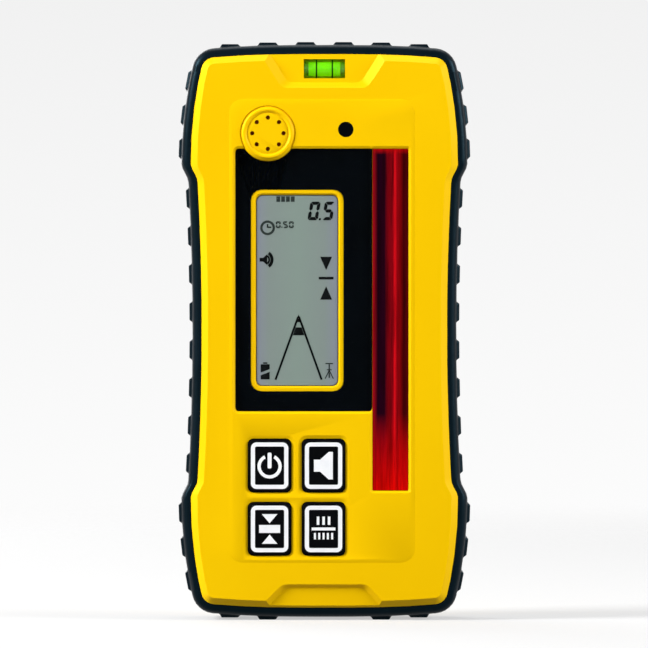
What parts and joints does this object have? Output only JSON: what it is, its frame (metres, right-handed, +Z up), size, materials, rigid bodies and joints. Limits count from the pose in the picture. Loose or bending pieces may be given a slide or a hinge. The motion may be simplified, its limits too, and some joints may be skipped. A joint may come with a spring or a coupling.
{
  "type": "laser receiver",
  "caption": "Hand-held laser receiver in a yellow two-part shell with a black tread bumper, display window, tall red receive window, press keys, level vial and hinged battery door.",
  "frame": {"origin": "middle of the footprint, on the soles of the lower tread blocks", "axes": "+Z up along the body's length, the face looks towards -Y, +X is to the right as seen from the front"},
  "size_m": [0.0848, 0.0361, 0.168],
  "materials": {
    "yellow_abs": "fine spark texture, satin",
    "bumper_rubber": "moulded thermoplastic rubber, soft sheen",
    "seal_rubber": "matt silicone",
    "key_rubber": "coated silicone, satin",
    "contact_rubber": "striped elastomer",
    "black_plastic": "moulded, satin",
    "black_print": "gloss black",
    "clear_lens": "clear polycarbonate, polished",
    "red_acrylic": "tinted acrylic, polished",
    "lcd_glass": "grey-green liquid crystal cell",
    "diode_epoxy": "dark epoxy",
    "board_laminate": "solder mask",
    "steel": "zinc plated",
    "bright_steel": "nickel plated",
    "brass": "turned",
    "dark_film": "thin woven film",
    "vial_acrylic": "clear acrylic, polished",
    "vial_liquid": "green fluid",
    "vial_plug": "dark plug",
    "ribbon_film": "polyimide film",
    "cell_jacket": "plain printed jacket",
    "lead_sleeve": "wire sleeve"
  },
  "bodies": {
    "case": {"front_housing": "yellow_abs", "rear_housing": "yellow_abs", "housing_seal": "seal_rubber", "housing_screws": "steel", "front_bumper": "bumper_rubber", "rear_bumper": "bumper_rubber", "display_lens": "clear_lens", "display_mask": "black_print", "display_cell": "lcd_glass", "display_frame": "black_plastic", "display_contacts": "contact_rubber", "red_filter": "red_acrylic", "diode_shroud": "black_plastic", "photodiodes": "diode_epoxy", "main_board": "board_laminate", "board_chips": "black_plastic", "board_screws": "steel", "snap_domes": "bright_steel", "keypad_mat": "seal_rubber", "speaker_grille": "yellow_abs", "speaker_membrane": "dark_film", "buzzer": "black_plastic", "light_pipe": "black_print", "light_sensor": "diode_epoxy", "vial_tube": "vial_acrylic", "vial_liquid": "vial_liquid", "vial_plugs": "vial_plug", "vial_lines": "black_print", "rear_lens": "clear_lens", "rear_mask": "black_print", "rear_cell": "lcd_glass", "rear_board": "board_laminate", "display_ribbon": "ribbon_film", "clamp_insert": "brass", "hinge_pin": "bright_steel", "battery_cell_left": "cell_jacket", "battery_cell_right": "cell_jacket", "contact_springs": "bright_steel", "contact_plates": "bright_steel", "battery_leads": "lead_sleeve"},
    "power_key": {"power_key": "key_rubber"},
    "volume_key": {"volume_key": "key_rubber"},
    "precision_key": {"precision_key": "key_rubber"},
    "units_key": {"units_key": "key_rubber"},
    "battery_door": {"battery_door": "yellow_abs", "battery_door_seal": "seal_rubber"}
  },
  "joints": [
    {"name": "power_press", "type": "slide", "parent": "case", "child": "power_key", "axis": [0, 1, 0], "range_m": [0, 0.0007], "stiffness_N_per_m": 1500},
    {"name": "volume_press", "type": "slide", "parent": "case", "child": "volume_key", "axis": [0, 1, 0], "range_m": [0, 0.0007], "stiffness_N_per_m": 1500},
    {"name": "precision_press", "type": "slide", "parent": "case", "child": "precision_key", "axis": [0, 1, 0], "range_m": [0, 0.0007], "stiffness_N_per_m": 1500},
    {"name": "units_press", "type": "slide", "parent": "case", "child": "units_key", "axis": [0, 1, 0], "range_m": [0, 0.0007], "stiffness_N_per_m": 1500},
    {"name": "battery_door_hinge", "type": "hinge", "parent": "case", "child": "battery_door", "pos_m": [0, 0.0148, 0.01185], "axis": [-1, 0, 0], "range_deg": [0, 90]}
  ]
}
